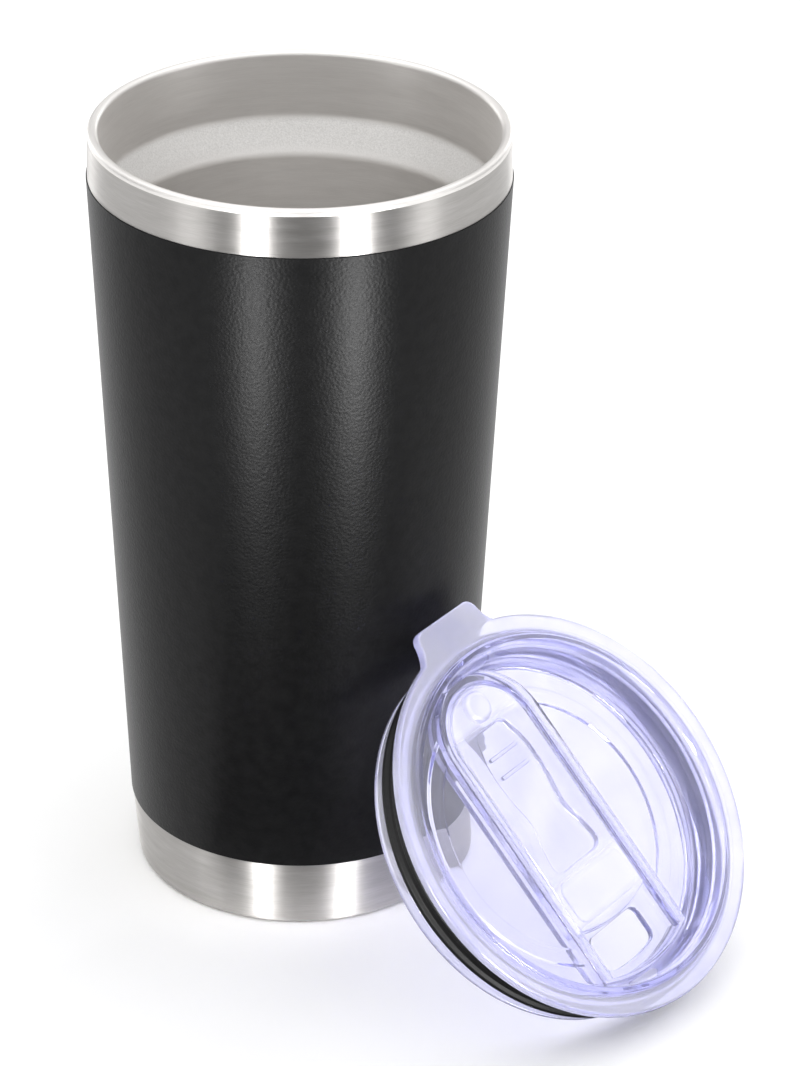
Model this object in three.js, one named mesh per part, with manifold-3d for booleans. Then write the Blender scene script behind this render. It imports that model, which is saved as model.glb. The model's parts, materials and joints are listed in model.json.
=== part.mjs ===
// Insulated tumbler with its slider lid taken off and leaned against the wall.
// Units are millimetres, +Z is up, and the origin is the middle of the tumbler's flat base.
import * as THREE from 'three';
import { mergeVertices } from 'three/addons/utils/BufferGeometryUtils.js';
import Module from 'manifold-3d';

const wasm = await Module();
wasm.setup();

// ---- Driving dimensions of the tumbler ----
const cupHeight = 172.6;
const rimRadius = 44.0;
const bandFlare = 0.2;
const wallTaper = 6.7;
const footTaper = 1.25;
const footCorner = 1.6;
const upperBandHeight = 10.1;
const lowerBandHeight = 15.8;
const shellWall = 0.6;
const coatThickness = 0.2;
const coatGap = 0.05;
const seamGap = 0.05;

const upperBandRadius = rimRadius + bandFlare;
const lowerBandRadius = upperBandRadius - wallTaper;
const footRadius = lowerBandRadius - footTaper;

// Base: welded plate, vacuum port, getter and the disc that covers them.
const footRingWidth = 1.2;
const basePlateHeight = 3.0;
const basePlateThickness = 0.8;
const basePlateSkirt = 4.0;
const portRadius = 1.5;
const beadRadius = 2.6;
const beadDrop = 1.0;
const beadCrownRadius = 1.56;
const beadCrownRise = 0.15;
const beadSideHeight = 0.3;
const getterRadius = 8.0;
const getterHeight = 2.4;
const getterChamfer = 0.5;
const baseCapThickness = 0.8;
const baseCapRim = 2.0;
const baseCapChamfer = 0.4;
const baseCapGap = 0.3;

// Inner liner: mouth, shoulder and well. The well stands off the shell by the vacuum gaps.
const linerWall = 0.6;
const rimWidth = 2.2;
const rimLipHeight = 1.3;
const rimOuterRound = 1.04;
const rimInnerRound = 0.624;
const mouthDepth = 15.0;
const shoulderDrop = 7.3;
const shoulderStep = 3.8;
const wallVacuumGap = 3.7;
const floorVacuumGap = 2.15;
const wellCorner = 7.0;

const mouthRadius = rimRadius - rimWidth;
const wellTopRadius = mouthRadius - shoulderStep;
const wellBottomRadius = lowerBandRadius - shellWall - wallVacuumGap - linerWall;
const basePlateTop = basePlateHeight + basePlateThickness;
const getterTop = basePlateTop + seamGap + getterHeight;
const floorHeight = getterTop + floorVacuumGap + linerWall;

// ---- Driving dimensions of the lid (depths are measured down from the flange's top) ----
const flangeOverhang = 0.8;
const flangeThickness = 2.4;
const flangeChamfer = 0.6;
const plugClearance = 0.3;
const shoulderClearance = 0.6;
const plugChamfer = 0.6;
const neckInset = 0.2;
const neckHeight = 1.9;
const grooveHeight = 6.4;
const grooveDepth = 1.6;
const gasketSqueeze = 0.5;
const gasketClearance = 0.3;
const gasketLand = 0.1;
const skirtWall = 2.5;
const skirtDraft = 0.4;
const skirtDrop = 5.4;
const beadInset = 3.1;
const rimBeadWidth = 1.8;
const rimBeadHeight = 0.5;
const rimBeadSlope = 0.5;
const recessTaper = 3.6;
const recessEdge = 0.4;
const recessEdgeDepth = 0.8;
const recessFootWidth = 1.1;
const recessFootHeight = 1.4;
const recessFootDraft = 0.3;
const recessFootRise = 0.4;
const deckThickness = 1.8;
const deckRingInset = 3.3;
const deckRingWidth = 4.1;
const deckRingHeight = 0.5;
const tabReach = 4.9;
const tabTipWidth = 18.6;
const tabRootWidth = 25.5;
const tabEdgeRound = 0.4;
const tabOverlap = 1.0;
const tabFlankWidth = 0.6;
const tabFlankRise = 1.2;
const tabTipRound = 1.8;
const tabTipFlare = 0.4;

const flangeRadius = rimRadius + flangeOverhang;
const plugRadius = mouthRadius - plugClearance;
const plugDepth = mouthDepth - shoulderClearance;
const gasketProud = plugClearance + gasketSqueeze;
const grooveTop = flangeThickness + neckHeight;
const grooveBottom = grooveTop + grooveHeight;
const grooveFloor = plugRadius - grooveDepth;
const beadInnerRadius = plugRadius - beadInset;
const flangeFlatInner = beadInnerRadius + rimBeadWidth;
const deckRadius = beadInnerRadius - recessTaper;
const deckDepth = plugDepth - skirtDrop;
const deckRingRadius = deckRadius - deckRingInset;

// Track across the deck and the slider that runs in it.
const trackHalfWidth = 12.7;
const trackLip = 1.0;
const trackEndReach = 0.2;
const trackFrontReach = 0.4;
const trackFloorThickness = 1.6;
const railWall = 2.0;
const railFrontWall = 1.1;
const railHeight = 2.3;
const lipThickness = 1.5;
const lipOverlap = 0.2;
const cutMargin = 1.5;
const drinkHalfWidth = 8.2;
const drinkLength = 9.0;
const drinkEdge = 1.9;
const drinkCorner = 2.0;
const openMargin = 0.5;
const sliderClearance = 0.4;
const sliderPlateThickness = 2.0;
const sliderCrownHeight = 1.1;
const sliderCrownGap = 0.1;
const crownOverlap = 0.5;
const sliderPocketDepth = 1.3;
const pocketHalfWidths = [4.5, 6.6, 6.6, 5.6, 7.0, 8.0];
const pocketStations = [0.71, 0.51, 0.29, 0.07, -0.09, -0.27];
const ribStations = [0.53, 0.4];
const ribLength = 10.0;
const ribWidth = 0.9;
const ribHeight = 0.65;
const ribSunk = 0.25;
const gripRadius = 3.6;
const gripHeight = 1.3;
const gripFromEnd = 5.5;
const gripShoulderRadius = 2.88;
const gripShoulderDrop = 0.13;
const gripCrownRadius = 1.8;
const gripSideHeight = 0.65;
const padFromFront = 2.8;
const padLength = 10.2;
const padInset = 1.2;
const padHeight = 0.45;
const padCorner = 2.6;

const trackEnd = deckRadius + trackEndReach;
const trackFrontRadius = deckRadius + trackFrontReach;
const trackCentre = trackEnd - trackHalfWidth;
const lipHalfWidth = trackHalfWidth - trackLip;
const railHalfWidth = trackHalfWidth + railWall;
const railTopDepth = deckDepth - railHeight;
const lipBottomDepth = railTopDepth + lipThickness;
const trackFloorDepth = lipBottomDepth + sliderPlateThickness + 2 * sliderClearance;
const slideTravel = drinkEdge + drinkLength + openMargin - sliderClearance;

// ---- How the lid leans ----
const leanAzimuth = THREE.MathUtils.degToRad(-43);
const leanElevation = THREE.MathUtils.degToRad(44);
const tabTurn = THREE.MathUtils.degToRad(5);
const wallGap = 0.35;
const floorGap = 0.05;

const roundSegments = 60;
const smallSegments = 24;
const arcSteps = 4;
const rimSteps = 3;
const smallCurve = 6;
const pocketCurve = 8;
const plateCurve = 12;

// ---- Colours and finishes ----
function finish(color, roughness, metalness) {
  return new THREE.MeshStandardMaterial({ color, roughness, metalness });
}
const brushedSteel = () => finish(0xb5b0aa, 0.32, 1.0);
const clearPlastic = () => {
  const material = finish(0xdcdcf5, 0.08, 0.0);
  material.transparent = true;
  material.opacity = 0.4;
  return material;
};

// ---- Shape helpers ----

// Points of a quarter (or other) arc in the radius-height plane, ends included.
function arc(centreR, centreZ, radius, fromDeg, toDeg, steps = arcSteps) {
  const points = [];
  for (let i = 0; i <= steps; i += 1) {
    const angle = THREE.MathUtils.degToRad(fromDeg + ((toDeg - fromDeg) * i) / steps);
    points.push([centreR + radius * Math.cos(angle), centreZ + radius * Math.sin(angle)]);
  }
  return points;
}

// Solid of revolution about Z. The profile runs up its outer side and down its inner side.
function revolve(profile, segments = roundSegments) {
  const points = profile.map(([r, z]) => new THREE.Vector2(r, z));
  const startsOnAxis = profile[0][0] === 0;
  if (!startsOnAxis) points.push(points[0].clone());
  const geometry = new THREE.LatheGeometry(points, segments);
  geometry.rotateX(Math.PI / 2);
  return geometry;
}

// Plate cut from a shape, between two heights.
function plate(shape, bottom, top, curveSegments = plateCurve) {
  const options = { depth: top - bottom, bevelEnabled: false, curveSegments };
  const geometry = new THREE.ExtrudeGeometry(shape, options);
  geometry.translate(0, 0, bottom);
  return geometry;
}

function toSolid(geometry) {
  const bare = geometry.clone();
  bare.deleteAttribute('normal');
  bare.deleteAttribute('uv');
  const merged = mergeVertices(bare, 1e-5);
  const mesh = new wasm.Mesh({
    numProp: 3,
    vertProperties: new Float32Array(merged.attributes.position.array),
    triVerts: new Uint32Array(merged.index.array),
  });
  return new wasm.Manifold(mesh);
}

function toGeometry(solid) {
  const mesh = solid.getMesh();
  const geometry = new THREE.BufferGeometry();
  const stride = mesh.numProp;
  const positions = new Float32Array((mesh.vertProperties.length / stride) * 3);
  for (let i = 0; i < positions.length / 3; i += 1) {
    positions.set(mesh.vertProperties.subarray(i * stride, i * stride + 3), i * 3);
  }
  geometry.setAttribute('position', new THREE.BufferAttribute(positions, 3));
  geometry.setIndex(new THREE.BufferAttribute(new Uint32Array(mesh.triVerts), 1));
  geometry.computeVertexNormals();
  return geometry;
}

function part(name, geometry, material) {
  const mesh = new THREE.Mesh(geometry, material);
  mesh.name = name;
  return mesh;
}

// ---- Tumbler outline shared by its pieces ----
const coatTop = cupHeight - upperBandHeight;

// Outer radius of the bare shell at a height between the two bands.
function shellRadius(z) {
  const share = (z - lowerBandHeight) / (coatTop - lowerBandHeight);
  return lowerBandRadius + share * (upperBandRadius - lowerBandRadius);
}

// Outer radius of the tumbler's wall at any height above the foot, coat included.
function wallRadius(z) {
  if (z < lowerBandHeight) {
    return footRadius + (z / lowerBandHeight) * (lowerBandRadius - footRadius);
  }
  return shellRadius(z) + coatGap + coatThickness;
}

// ---- Tumbler pieces ----
const shellTop = cupHeight - rimLipHeight - seamGap;
const footRingInner = footRadius - footCorner - footRingWidth;

function outerShell() {
  const corner = arc(footRadius - footCorner, footCorner, footCorner, -90, 0);
  const innerCorner = arc(footRadius - footCorner, footCorner, footCorner - shellWall, 0, -90);
  return revolve([
    [footRingInner, 0],
    ...corner,
    [lowerBandRadius, lowerBandHeight],
    [upperBandRadius, coatTop],
    [rimRadius, shellTop],
    [rimRadius - shellWall, shellTop],
    [upperBandRadius - shellWall, coatTop],
    [lowerBandRadius - shellWall, lowerBandHeight],
    ...innerCorner,
    [footRingInner, shellWall],
  ]);
}

function powderCoat() {
  const bottomInner = lowerBandRadius + coatGap;
  const topInner = upperBandRadius + coatGap;
  return revolve([
    [bottomInner, lowerBandHeight],
    [bottomInner + coatThickness, lowerBandHeight],
    [topInner + coatThickness, coatTop],
    [topInner, coatTop],
  ]);
}

function innerLiner() {
  const lipBottom = cupHeight - rimLipHeight;
  const mouthBottom = cupHeight - mouthDepth;
  const cornerCentre = wellBottomRadius - wellCorner;
  const shoulder = (offset) => {
    // The step between mouth and well is a soft S, sampled along its drop.
    const points = [];
    for (let i = 0; i <= arcSteps; i += 1) {
      const share = i / arcSteps;
      const blend = share * share * (3 - 2 * share);
      const radius = mouthRadius + blend * (wellTopRadius - mouthRadius);
      points.push([radius + offset, mouthBottom - share * shoulderDrop]);
    }
    return points;
  };
  return revolve([
    [0, floorHeight - linerWall],
    ...arc(cornerCentre, floorHeight + wellCorner, wellCorner + linerWall, -90, 0),
    ...shoulder(linerWall).reverse(),
    [mouthRadius + linerWall, lipBottom],
    [rimRadius, lipBottom],
    ...arc(rimRadius - rimOuterRound, cupHeight - rimOuterRound, rimOuterRound, 0, 90, rimSteps),
    ...arc(mouthRadius + rimInnerRound, cupHeight - rimInnerRound, rimInnerRound, 90, 180, rimSteps),
    ...shoulder(0),
    ...arc(cornerCentre, floorHeight + wellCorner, wellCorner, 0, -90),
    [0, floorHeight],
  ]);
}

function outerBase() {
  const skirtRadius = footRadius - shellWall - seamGap * 2;
  const skirtTop = basePlateTop + basePlateSkirt;
  return revolve([
    [portRadius, basePlateHeight],
    [skirtRadius, basePlateHeight],
    [skirtRadius, skirtTop],
    [skirtRadius - basePlateThickness, skirtTop],
    [skirtRadius - basePlateThickness, basePlateTop],
    [portRadius, basePlateTop],
  ]);
}

function vacuumSeal() {
  const stemRadius = portRadius - seamGap;
  const headTop = basePlateHeight - seamGap;
  return revolve([
    [0, headTop - beadDrop],
    [beadCrownRadius, headTop - beadDrop + beadCrownRise],
    [beadRadius, headTop - beadSideHeight],
    [beadRadius, headTop],
    [stemRadius, headTop],
    [stemRadius, basePlateTop],
    [0, basePlateTop],
  ], smallSegments);
}

function getter() {
  const bottom = getterTop - getterHeight;
  return revolve([
    [0, bottom],
    [getterRadius - getterChamfer, bottom],
    [getterRadius, bottom + getterChamfer],
    [getterRadius, getterTop - getterChamfer],
    [getterRadius - getterChamfer, getterTop],
    [0, getterTop],
  ], smallSegments);
}

function baseCap() {
  const outer = footRingInner - baseCapGap;
  const rimTop = basePlateHeight - seamGap;
  return revolve([
    [0, 0],
    [outer - baseCapChamfer, 0],
    [outer, baseCapChamfer],
    [outer, rimTop],
    [outer - baseCapRim, rimTop],
    [outer - baseCapRim, baseCapThickness],
    [0, baseCapThickness],
  ]);
}

// ---- Lid pieces, in the lid's own frame: flange top at z = 0, tab along +Y ----

// Outline across the deck: round at the tab end, and at the drinking end an arc about (0, frontCentre).
function trackShape(halfWidth, frontRadius, frontCentre = 0) {
  const frontAngle = Math.asin(halfWidth / frontRadius);
  const shape = new THREE.Shape();
  shape.absarc(0, trackCentre, halfWidth, 0, Math.PI, false);
  const straightOut = -Math.PI / 2;
  shape.absarc(0, frontCentre, frontRadius, straightOut - frontAngle, straightOut + frontAngle, false);
  shape.closePath();
  return shape;
}

// Drinking opening: straight inner side, outer side an arc that follows the lid's rim, round corners.
function drinkShape() {
  const outerRadius = trackFrontRadius - drinkEdge;
  const cornerRing = outerRadius - drinkCorner;
  const cornerSpan = drinkHalfWidth - drinkCorner;
  const innerCornerY = -(outerRadius - drinkLength) - drinkCorner;
  const sideAngle = Math.asin(cornerSpan / cornerRing);
  const outerCornerY = -cornerRing * Math.cos(sideAngle);
  const up = Math.PI / 2;
  const left = Math.PI;
  const down = 1.5 * Math.PI;
  const shape = new THREE.Shape();
  shape.absarc(-cornerSpan, innerCornerY, drinkCorner, up, left, false);
  shape.absarc(-cornerSpan, outerCornerY, drinkCorner, left, down - sideAngle, false);
  shape.absarc(0, 0, outerRadius, down - sideAngle, down + sideAngle, false);
  shape.absarc(cornerSpan, outerCornerY, drinkCorner, down + sideAngle, 2 * Math.PI, false);
  shape.absarc(cornerSpan, innerCornerY, drinkCorner, 0, up, false);
  shape.closePath();
  return shape;
}

function tabSolid() {
  const startY = flangeFlatInner + tabOverlap;
  const tipY = flangeRadius + tabReach;
  const rootX = tabRootWidth / 2;
  const rootY = Math.sqrt((flangeRadius - flangeChamfer) ** 2 - rootX ** 2);
  const tipX = tabTipWidth / 2;
  const flankX = tipX + tabFlankWidth;
  const flankY = rootY + tabFlankRise;
  const shape = new THREE.Shape();
  shape.moveTo(rootX, startY);
  shape.lineTo(rootX, rootY);
  shape.quadraticCurveTo(flankX, flankY, tipX, tipY - tabTipRound);
  shape.quadraticCurveTo(tipX - tabTipFlare, tipY, tipX - tabTipRound, tipY);
  shape.lineTo(-tipX + tabTipRound, tipY);
  shape.quadraticCurveTo(-tipX + tabTipFlare, tipY, -tipX, tipY - tabTipRound);
  shape.quadraticCurveTo(-flankX, flankY, -rootX, rootY);
  shape.lineTo(-rootX, startY);
  shape.closePath();
  const geometry = new THREE.ExtrudeGeometry(shape, {
    depth: flangeThickness - 2 * tabEdgeRound,
    bevelEnabled: true,
    bevelThickness: tabEdgeRound,
    bevelSize: tabEdgeRound,
    bevelOffset: -tabEdgeRound,
    bevelSegments: 2,
    curveSegments: smallCurve,
  });
  geometry.translate(0, 0, -flangeThickness + tabEdgeRound);
  return toSolid(geometry);
}

function lidShell() {
  const skirtInner = plugRadius - skirtWall;
  const deckUnder = deckDepth + deckThickness;
  const recessFoot = deckRadius + recessFootWidth;
  const ringInner = deckRingRadius - deckRingWidth;
  const ringTop = -deckDepth + deckRingHeight;
  const body = revolve([
    [0, -deckUnder],
    [skirtInner - skirtDraft, -deckUnder],
    [skirtInner, -plugDepth],
    [plugRadius - plugChamfer, -plugDepth],
    [plugRadius, -plugDepth + plugChamfer],
    [plugRadius, -grooveBottom],
    [grooveFloor, -grooveBottom],
    [grooveFloor, -grooveTop],
    [plugRadius - neckInset, -grooveTop],
    [plugRadius - neckInset, -flangeThickness],
    [flangeRadius - flangeChamfer, -flangeThickness],
    [flangeRadius, -flangeThickness + flangeChamfer],
    [flangeRadius, -flangeChamfer],
    [flangeRadius - flangeChamfer, 0],
    [flangeFlatInner, 0],
    [flangeFlatInner - rimBeadSlope, rimBeadHeight],
    [beadInnerRadius + rimBeadSlope, rimBeadHeight],
    [beadInnerRadius, 0],
    [beadInnerRadius - recessEdge, -recessEdgeDepth],
    [recessFoot, -deckDepth + recessFootHeight],
    [recessFoot - recessFootDraft, -deckDepth + recessFootRise],
    [deckRadius, -deckDepth],
    [deckRingRadius, -deckDepth],
    [deckRingRadius - deckRingHeight, ringTop],
    [ringInner + deckRingHeight, ringTop],
    [ringInner, -deckDepth],
    [0, -deckDepth],
  ]);
  const trackUnder = trackFloorDepth + trackFloorThickness;
  const railShape = trackShape(railHalfWidth, trackFrontRadius + railFrontWall);
  const rails = plate(railShape, -trackUnder, -railTopDepth);
  const lipShape = trackShape(lipHalfWidth, trackFrontRadius);
  const betweenLips = plate(lipShape, -lipBottomDepth - lipOverlap, -railTopDepth + cutMargin);
  const groove = plate(trackShape(trackHalfWidth, trackFrontRadius), -trackFloorDepth, -lipBottomDepth);
  const drink = plate(drinkShape(), -trackUnder - cutMargin, -trackFloorDepth + cutMargin, smallCurve);
  return toGeometry(toSolid(body)
    .add(toSolid(rails))
    .add(tabSolid())
    .subtract(toSolid(betweenLips))
    .subtract(toSolid(groove))
    .subtract(toSolid(drink)));
}

function gasket() {
  const inner = grooveFloor + gasketClearance;
  const land = plugRadius + gasketLand;
  const tip = plugRadius + gasketProud;
  const top = -grooveTop - gasketClearance;
  const bottom = -grooveBottom + gasketClearance;
  const finHeight = (top - bottom) / 8;
  return revolve([
    [inner, bottom],
    [land, bottom],
    [tip, bottom + finHeight],
    [tip, bottom + 2 * finHeight],
    [land, bottom + 3 * finHeight],
    [land, top - 3 * finHeight],
    [tip, top - 2 * finHeight],
    [tip, top - finHeight],
    [land, top],
    [inner, top],
  ]);
}

// The waisted hollow in the slider's crown, from its narrow end at the grip to its wide end.
function pocketShape() {
  const right = pocketHalfWidths.map((x, i) => new THREE.Vector2(x, pocketStations[i] * trackEnd));
  const left = right.map((p) => new THREE.Vector2(-p.x, p.y)).reverse();
  const shape = new THREE.Shape();
  shape.moveTo(left[left.length - 1].x, left[left.length - 1].y);
  shape.lineTo(right[0].x, right[0].y);
  shape.splineThru(right.slice(1));
  shape.lineTo(left[0].x, left[0].y);
  shape.splineThru(left.slice(1));
  return shape;
}

// The smooth pad at the slider's drinking end: a rectangle with round corners.
function padShape(halfWidth, frontY) {
  const x = halfWidth - padCorner;
  const low = frontY + padCorner;
  const high = frontY + padLength - padCorner;
  const shape = new THREE.Shape();
  shape.absarc(x, low, padCorner, -Math.PI / 2, 0, false);
  shape.absarc(x, high, padCorner, 0, Math.PI / 2, false);
  shape.absarc(-x, high, padCorner, Math.PI / 2, Math.PI, false);
  shape.absarc(-x, low, padCorner, Math.PI, 1.5 * Math.PI, false);
  shape.closePath();
  return shape;
}

function gripKnob(crownTop) {
  const top = crownTop + gripHeight;
  const knob = revolve([
    [0, crownTop - crownOverlap],
    [gripRadius, crownTop - crownOverlap],
    [gripRadius, crownTop + gripSideHeight],
    [gripShoulderRadius, top - gripShoulderDrop],
    [gripCrownRadius, top],
    [0, top],
  ], smallSegments);
  knob.translate(0, trackEnd - gripFromEnd, 0);
  return knob;
}

function slider() {
  const plateBottom = -trackFloorDepth + sliderClearance;
  const plateTop = plateBottom + sliderPlateThickness;
  const crownTop = plateTop + sliderCrownHeight;
  const pocketFloor = crownTop - sliderPocketDepth;
  const frontRadius = trackFrontRadius - sliderClearance;
  const plateHalfWidth = trackHalfWidth - sliderClearance;
  const crownHalfWidth = plateHalfWidth - trackLip - sliderCrownGap;
  const base = plate(trackShape(plateHalfWidth, frontRadius, slideTravel), plateBottom, plateTop);
  const crownShape = trackShape(crownHalfWidth, frontRadius, slideTravel);
  const crown = plate(crownShape, plateTop - crownOverlap, crownTop);
  const pocket = plate(pocketShape(), pocketFloor, crownTop + cutMargin, pocketCurve);
  const padOutline = padShape(crownHalfWidth - padInset, slideTravel - frontRadius + padFromFront);
  const pad = plate(padOutline, pocketFloor, crownTop + padHeight, smallCurve);
  let solid = toSolid(base)
    .add(toSolid(crown))
    .subtract(toSolid(pocket))
    .add(toSolid(pad))
    .add(toSolid(gripKnob(crownTop)));
  for (const station of ribStations) {
    const rib = new THREE.BoxGeometry(ribLength, ribWidth, ribHeight + ribSunk);
    rib.translate(0, station * trackEnd, pocketFloor + (ribHeight - ribSunk) / 2);
    solid = solid.add(toSolid(rib));
  }
  return toGeometry(solid);
}

// ---- Leaning the lid: its plug's edge on the floor, its upper back edge at the wall ----
function leanPlace() {
  const cos = Math.cos(leanElevation);
  const sin = Math.sin(leanElevation);
  const edges = [
    [flangeRadius, flangeThickness],
    [plugRadius + gasketProud, grooveBottom],
    [plugRadius, plugDepth],
    [flangeRadius + tabReach, flangeThickness],
  ];
  const onFloor = edges.slice(0, 3).map(([r, depth]) => r * cos + depth * sin);
  const height = Math.max(...onFloor) + floorGap;
  const fromAxis = edges.map(([r, depth]) => {
    const z = height + r * cos - depth * sin;
    return wallRadius(z) + wallGap + r * sin + depth * cos;
  });
  return { height, distance: Math.max(...fromAxis) };
}

function leaningLid() {
  const { height, distance } = leanPlace();
  const outward = new THREE.Vector3(Math.cos(leanAzimuth), Math.sin(leanAzimuth), 0);
  const normal = outward.clone().multiplyScalar(Math.cos(leanElevation));
  normal.z = Math.sin(leanElevation);
  const upSlope = outward.clone().multiplyScalar(-Math.sin(leanElevation));
  upSlope.z = Math.cos(leanElevation);
  upSlope.applyAxisAngle(normal, tabTurn);
  const across = new THREE.Vector3().crossVectors(upSlope, normal);
  const lid = new THREE.Group();
  lid.quaternion.setFromRotationMatrix(new THREE.Matrix4().makeBasis(across, upSlope, normal));
  lid.position.copy(outward.multiplyScalar(distance)).setZ(height);
  lid.add(part('lid_shell', lidShell(), clearPlastic()));
  lid.add(part('gasket', gasket(), finish(0x141414, 0.55, 0.0)));
  lid.add(part('slider', slider(), clearPlastic()));
  return lid;
}

function tumbler() {
  const group = new THREE.Group();
  group.add(part('outer_shell', outerShell(), brushedSteel()));
  group.add(part('powder_coat', powderCoat(), finish(0x1a1a1b, 0.5, 0.1)));
  group.add(part('inner_liner', innerLiner(), brushedSteel()));
  group.add(part('outer_base', outerBase(), brushedSteel()));
  group.add(part('vacuum_seal', vacuumSeal(), finish(0x50545a, 0.3, 0.0)));
  group.add(part('getter', getter(), finish(0x8c8f92, 0.6, 0.8)));
  group.add(part('base_cap', baseCap(), brushedSteel()));
  return group;
}

const object = new THREE.Group();
object.add(tumbler());
object.add(leaningLid());

export default object;
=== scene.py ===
"""Insulated steel tumbler with its clear slider lid leaning beside it.

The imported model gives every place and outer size. This script builds the fine surfaces around it:
the turned steel walls, the powder coat, the moulded lid with its track, the gasket and the slider.
Profiles are in millimetres and meshes in metres.
"""
from __future__ import annotations

import json
import logging
import math
from dataclasses import dataclass, field
from enum import Enum
from typing import Callable, Iterable, Sequence

import bmesh
import bpy
from mathutils import Matrix, Vector


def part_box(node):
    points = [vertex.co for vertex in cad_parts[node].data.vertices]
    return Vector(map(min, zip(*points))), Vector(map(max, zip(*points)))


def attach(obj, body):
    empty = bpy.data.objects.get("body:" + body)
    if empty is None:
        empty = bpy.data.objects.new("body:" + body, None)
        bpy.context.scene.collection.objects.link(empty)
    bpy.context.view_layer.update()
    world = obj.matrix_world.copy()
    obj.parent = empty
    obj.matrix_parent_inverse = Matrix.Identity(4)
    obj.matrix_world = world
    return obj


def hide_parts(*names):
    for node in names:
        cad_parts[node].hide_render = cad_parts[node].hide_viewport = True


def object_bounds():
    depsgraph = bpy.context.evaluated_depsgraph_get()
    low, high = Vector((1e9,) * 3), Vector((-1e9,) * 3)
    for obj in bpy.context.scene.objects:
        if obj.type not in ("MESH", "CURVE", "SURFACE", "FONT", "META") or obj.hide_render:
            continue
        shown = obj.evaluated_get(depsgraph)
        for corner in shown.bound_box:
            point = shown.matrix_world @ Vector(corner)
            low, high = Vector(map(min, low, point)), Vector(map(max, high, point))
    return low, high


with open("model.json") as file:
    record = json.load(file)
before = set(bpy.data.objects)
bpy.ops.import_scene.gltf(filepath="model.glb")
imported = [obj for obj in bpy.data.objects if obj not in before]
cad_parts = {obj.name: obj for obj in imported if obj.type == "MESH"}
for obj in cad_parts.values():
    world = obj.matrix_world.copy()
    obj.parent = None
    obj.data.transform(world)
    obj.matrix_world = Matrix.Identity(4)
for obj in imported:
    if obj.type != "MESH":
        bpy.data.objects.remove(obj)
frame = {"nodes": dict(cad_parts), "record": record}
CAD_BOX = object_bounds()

log = logging.getLogger("tumbler")
MM = 0.001
CREASE = 32.0
ROUND_STEPS = 192
Point = tuple[float, float]
Corner = tuple[float, float, float]


class Body(Enum):
    """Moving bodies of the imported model."""

    TUMBLER = "tumbler"
    LID = "lid"
    SLIDER = "slider"


# Outlines


def filleted(corners: Sequence[Corner], closed: bool, steps: int = 5) -> list[Point]:
    """Rounds the corners of an outline.

    Args:
        corners: x, y and fillet radius of each corner, in millimetres.
        closed: whether the last corner joins the first.
        steps: segments in each rounded corner.

    Returns:
        The outline's points, with every filleted corner as an arc.
    """
    points: list[Point] = []
    count = len(corners)
    for i, (x, y, radius) in enumerate(corners):
        at_end = not closed and i in (0, count - 1)
        if radius <= 0 or at_end:
            points.append((x, y))
            continue
        here = Vector((x, y))
        previous, following = corners[i - 1], corners[(i + 1) % count]
        before = Vector(previous[:2]) - here
        after = Vector(following[:2]) - here
        half = before.angle(after) / 2
        room = [side.length * (0.48 if other[2] > 0 else 0.96)
                for side, other in ((before, previous), (after, following))]
        reach = min(radius / max(math.tan(half), 1e-6), *room)
        start = here + before.normalized() * reach
        end = here + after.normalized() * reach
        weight = math.sin(half)
        for k in range(steps + 1):
            t = k / steps
            parts = ((1 - t) ** 2, 2 * t * (1 - t) * weight, t ** 2)
            spot = (start * parts[0] + here * parts[1] + end * parts[2]) / sum(parts)
            points.append((spot.x, spot.y))
    return points


def arc(centre: Point, radius: float, start: float, end: float, steps: int) -> list[Point]:
    """Points on an arc.

    Args:
        centre: the arc's centre.
        radius: its radius.
        start: first angle in radians.
        end: last angle in radians.
        steps: number of segments.

    Returns:
        The points, both ends included.
    """
    angles = [start + (end - start) * i / steps for i in range(steps + 1)]
    return [(centre[0] + radius * math.cos(a), centre[1] + radius * math.sin(a)) for a in angles]


def rounded_box(half: float, low: float, high: float, radius: float, steps: int) -> list[Point]:
    """A rectangle with round corners, centred across.

    Args:
        half: half its width.
        low: lowest y.
        high: highest y.
        radius: rounding of its corners.
        steps: segments in each corner.

    Returns:
        The outline.
    """
    corners = [(x, y, radius) for x, y in ((half, low), (half, high), (-half, high), (-half, low))]
    return filleted(corners, closed=True, steps=steps)


def smooth_through(points: Sequence[Point], steps: int = 6) -> list[Point]:
    """A Catmull-Rom curve through points.

    Args:
        points: the points that the curve passes.
        steps: segments between two neighbours.

    Returns:
        The curve's points.
    """
    padded = [points[0], *points, points[-1]]
    curve: list[Point] = []
    for p0, p1, p2, p3 in zip(padded, padded[1:], padded[2:], padded[3:]):
        for k in range(steps):
            t = k / steps
            spot = [
                0.5 * (2 * b + (c - a) * t + (2 * a - 5 * b + 4 * c - d) * t * t
                       + (3 * b - a - 3 * c + d) * t ** 3)
                for a, b, c, d in zip(p0, p1, p2, p3)
            ]
            curve.append((spot[0], spot[1]))
    curve.append(points[-1])
    return curve


# Meshes


def as_object(name: str, verts: Iterable[Sequence[float]], faces: Iterable[Sequence[int]],
              sharp: float = CREASE) -> bpy.types.Object:
    """Makes a mesh object with smooth shading and sharp creases.

    Args:
        name: the object's name.
        verts: vertex places in millimetres.
        faces: vertex numbers of each face.
        sharp: crease angle in degrees above which an edge stays sharp.

    Returns:
        The linked object.
    """
    mesh = bpy.data.meshes.new(name)
    mesh.from_pydata([[c * MM for c in v] for v in verts], [], list(faces))
    obj = bpy.data.objects.new(name, mesh)
    bpy.context.scene.collection.objects.link(obj)
    tidy_mesh(obj, sharp)
    return obj


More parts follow.
